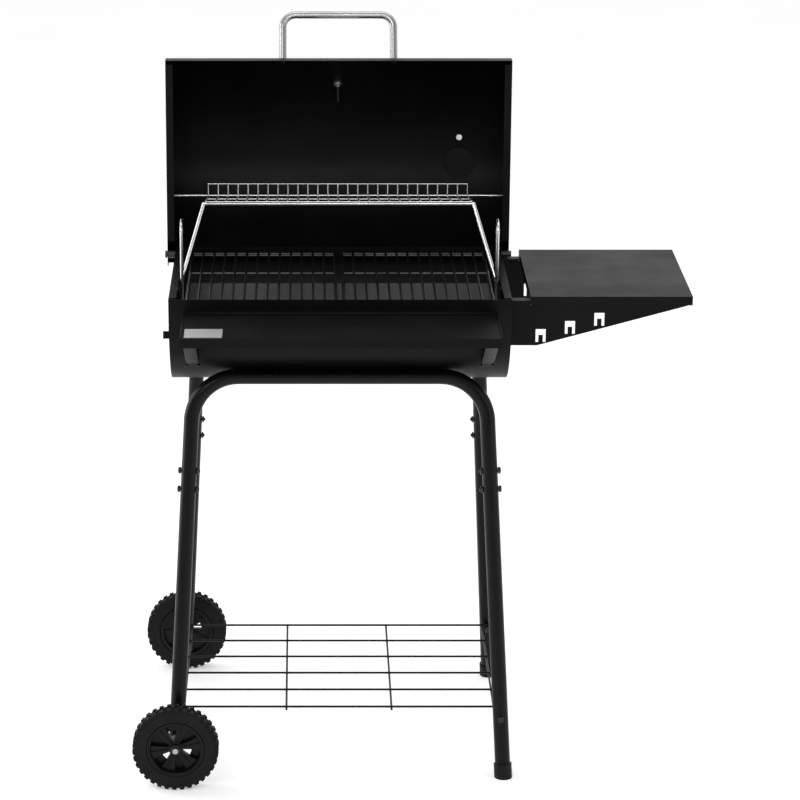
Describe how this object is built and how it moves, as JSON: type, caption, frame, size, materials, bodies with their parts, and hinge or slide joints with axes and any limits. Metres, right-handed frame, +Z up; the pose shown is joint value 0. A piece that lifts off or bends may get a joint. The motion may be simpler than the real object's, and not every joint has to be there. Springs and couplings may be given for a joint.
{
  "type": "barrel charcoal grill",
  "caption": "Barrel charcoal grill on a two-wheeled tubular cart, with an open lid, a warming rack that follows the lid, a wire grate, a lifting tray, a front shelf and a side table",
  "frame": {"origin": "on the ground, under the middle of the whole object's outline with the lid open", "axes": "+X runs along the barrel towards the side table, -Y faces the cook, +Z up; the barrel's axis is parallel to X"},
  "size_m": [1.0024, 0.7526, 1.3173],
  "materials": {
    "black_enamel": "satin black heat-proof paint on sheet steel",
    "tray_enamel": "dark grey enamel",
    "tube_paint": "satin black powder coat",
    "zinc_steel": "zinc plated",
    "black_hardware": "black plated screws and nuts",
    "grate_steel": "dark plated wire",
    "bright_wire": "bright chrome plated wire",
    "shelf_wire": "black coated wire",
    "brushed_handle": "brushed stainless tube",
    "label_metal": "plain brushed plate",
    "dial_face": "steel case",
    "black_plastic": "matte moulded",
    "tyre": "hard moulded tyre",
    "hub_plastic": "moulded hub"
  },
  "bodies": {
    "stand": {"bowl_shell": "black_enamel", "bowl_end_left": "black_enamel", "bowl_end_right": "black_enamel", "hinge_pins": "black_hardware", "hinge_spacers": "black_hardware", "cooking_grate_left": "grate_steel", "cooking_grate_right": "grate_steel", "grate_ledges": "black_enamel", "tray_rests": "black_enamel", "air_damper_rivet": "zinc_steel", "frame_front": "tube_paint", "frame_rear": "tube_paint", "frame_bolts": "black_hardware", "leg_front_left": "tube_paint", "leg_front_right": "tube_paint", "leg_rear_left": "tube_paint", "leg_rear_right": "tube_paint", "leg_bolts": "black_hardware", "foot_caps": "black_plastic", "wire_shelf": "shelf_wire", "shelf_screws": "black_hardware", "axle": "zinc_steel", "axle_caps": "black_hardware", "side_table": "black_enamel", "table_bracket_front": "black_enamel", "table_bracket_rear": "black_enamel", "table_bolts": "black_hardware", "front_shelf": "black_enamel", "front_shelf_struts": "black_enamel", "strut_bolts": "black_hardware", "shelf_plate": "label_metal"},
    "lid": {"lid_shell": "black_enamel", "lid_end_left": "black_enamel", "lid_end_right": "black_enamel", "lid_handle": "brushed_handle", "handle_collars": "black_plastic", "handle_screws": "black_hardware", "thermometer_dial": "dial_face", "thermometer_stem": "zinc_steel", "thermometer_nut": "zinc_steel", "lid_plate": "label_metal", "lid_plate_rivets": "black_hardware", "vent_collar": "black_enamel", "vent_pivot_screw": "zinc_steel", "rack_pivot_blocks": "black_enamel"},
    "vent_damper": {"vent_damper": "black_enamel"},
    "rack_support": {"rack_support": "bright_wire"},
    "warming_rack": {"warming_rack": "bright_wire"},
    "charcoal_tray": {"charcoal_tray": "tray_enamel", "tray_handle_left": "bright_wire", "tray_handle_right": "bright_wire"},
    "air_damper": {"air_damper": "black_enamel"},
    "wheel_front": {"tyre_front": "tyre", "hub_front": "hub_plastic"},
    "wheel_rear": {"tyre_rear": "tyre", "hub_rear": "hub_plastic"}
  },
  "joints": [
    {"name": "lid_hinge", "type": "hinge", "parent": "stand", "child": "lid", "pos_m": [-0.12576, 0.1527, 0.88], "axis": [1, 0, 0], "range_deg": [0, 90]},
    {"name": "rack_support_hinge", "type": "hinge", "parent": "stand", "child": "rack_support", "pos_m": [-0.12576, 0.0167, 0.85], "axis": [1, 0, 0], "range_deg": [0, 69.5]},
    {"name": "warming_rack_hinge", "type": "hinge", "parent": "rack_support", "child": "warming_rack", "pos_m": [-0.12576, 0.0957, 0.991], "axis": [1, 0, 0], "range_deg": [-63.5, 0]},
    {"name": "charcoal_tray_lift", "type": "slide", "parent": "stand", "child": "charcoal_tray", "axis": [0, 0, 1], "range_m": [0, 0.03]},
    {"name": "wheel_front_spin", "type": "hinge", "parent": "stand", "child": "wheel_front", "pos_m": [-0.42274, -0.3153, 0.0785], "axis": [0, 1, 0], "continuous": true},
    {"name": "wheel_rear_spin", "type": "hinge", "parent": "stand", "child": "wheel_rear", "pos_m": [-0.42274, 0.2767, 0.0785], "axis": [0, 1, 0], "continuous": true},
    {"name": "vent_damper_swing", "type": "hinge", "parent": "lid", "child": "vent_damper", "pos_m": [0.10823, 0.37124, 1.05675], "axis": [0, 0.9781, -0.2079], "range_deg": [0, 70]},
    {"name": "air_damper_turn", "type": "hinge", "parent": "stand", "child": "air_damper", "pos_m": [-0.43127, -0.0893, 0.801], "axis": [1, 0, 0], "range_deg": [0, 45]}
  ],
  "couplings": [
    {"joint": "rack_support_hinge", "follows": "lid_hinge", "ratio": 0.7711},
    {"joint": "warming_rack_hinge", "follows": "lid_hinge", "ratio": -0.7046}
  ]
}
